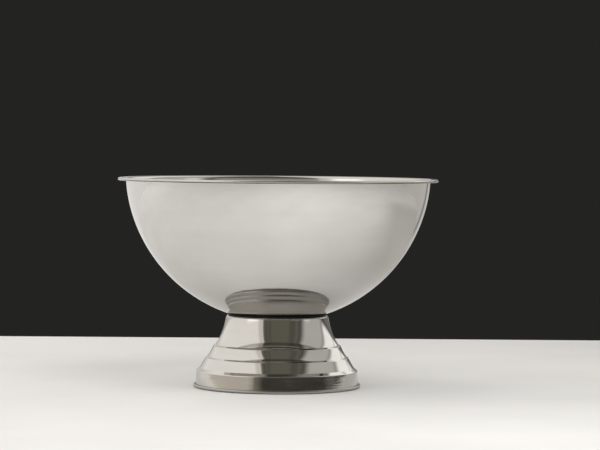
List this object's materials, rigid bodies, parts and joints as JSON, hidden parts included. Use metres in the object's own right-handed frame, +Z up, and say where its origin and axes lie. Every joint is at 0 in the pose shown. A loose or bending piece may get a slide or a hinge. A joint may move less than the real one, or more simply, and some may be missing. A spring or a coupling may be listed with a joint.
{
  "type": "footed punch bowl",
  "caption": "Large footed punch bowl: mirror-polished spun steel hemisphere with a turned-out, curled rim on a stepped, flared pedestal foot clamped from inside.",
  "frame": {"origin": "middle of the foot on the plane it rests on", "axes": "+Z up along the axis of the bowl and foot"},
  "size_m": [0.38, 0.38, 0.248],
  "materials": {
    "bowl_steel": "mirror-polished stainless steel with faint spinning marks",
    "foot_steel": "polished stainless steel, spinning marks a little stronger than on the bowl",
    "plain_steel": "plain mill-finish steel",
    "zinc_steel": "bright zinc plate",
    "gasket_rubber": "matt black rubber",
    "ring_rubber": "matt black non-slip rubber"
  },
  "bodies": {
    "root": {"bowl": "bowl_steel", "pedestal_foot": "foot_steel", "seam_gasket": "gasket_rubber", "stud_plate": "plain_steel", "clamp_stud": "zinc_steel", "bridge_bar": "plain_steel", "flat_washer": "zinc_steel", "spring_washer": "zinc_steel", "clamp_nut": "zinc_steel", "base_ring": "ring_rubber"}
  },
  "joints": []
}
